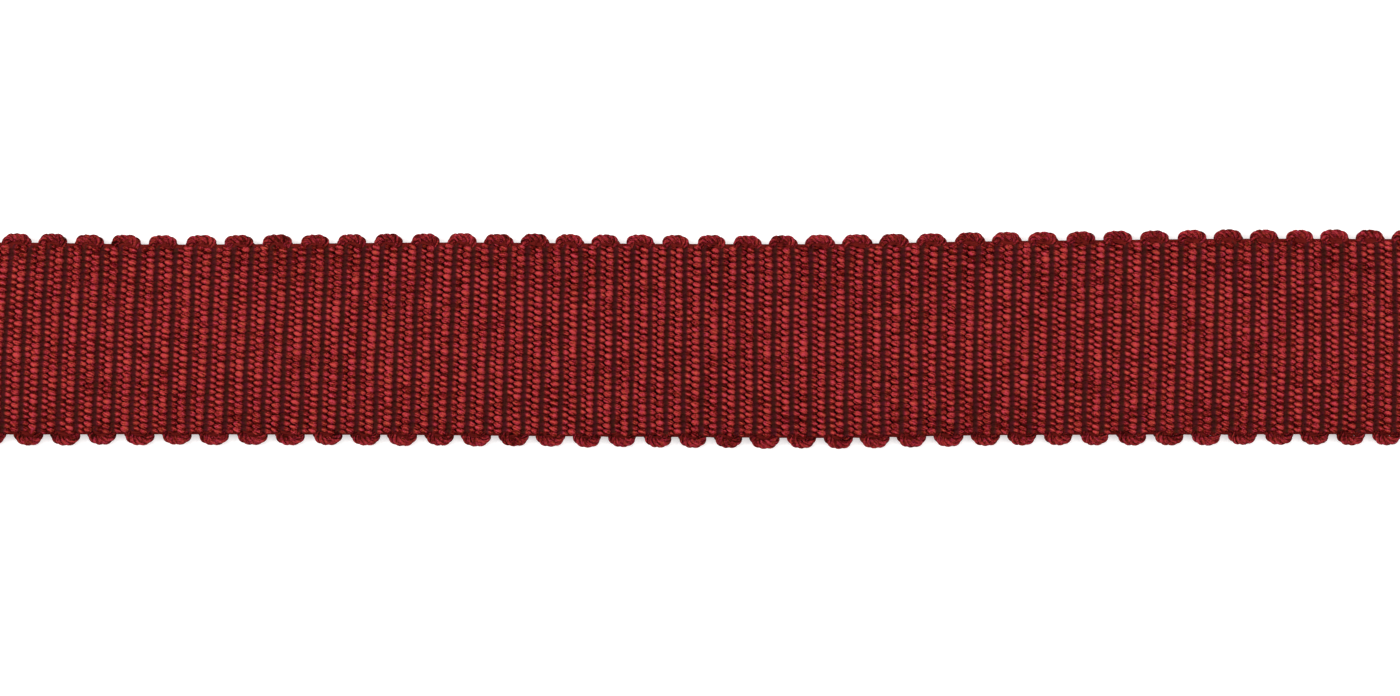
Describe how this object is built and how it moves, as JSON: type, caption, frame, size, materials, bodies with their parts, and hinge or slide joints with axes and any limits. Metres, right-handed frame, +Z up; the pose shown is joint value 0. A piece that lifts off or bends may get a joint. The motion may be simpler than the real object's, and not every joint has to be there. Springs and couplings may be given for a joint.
{
  "type": "ribbed braid trim with looped edges, cut length",
  "caption": "Flat cut length of woven braid trim with thick crosswise ribs and a scalloped edge of small cord loops along both sides.",
  "frame": {"origin": "middle of the braid's box, on the plane that the undersides of the ribs lie on", "axes": "+X along the braid, +Y across it along the ribs, +Z up out of the face that shows"},
  "size_m": [0.1682, 0.0258, 0.002],
  "materials": {
    "red_yarn": "matt, twisted yarn"
  },
  "bodies": {
    "root": {"braid": "red_yarn"}
  },
  "joints": []
}
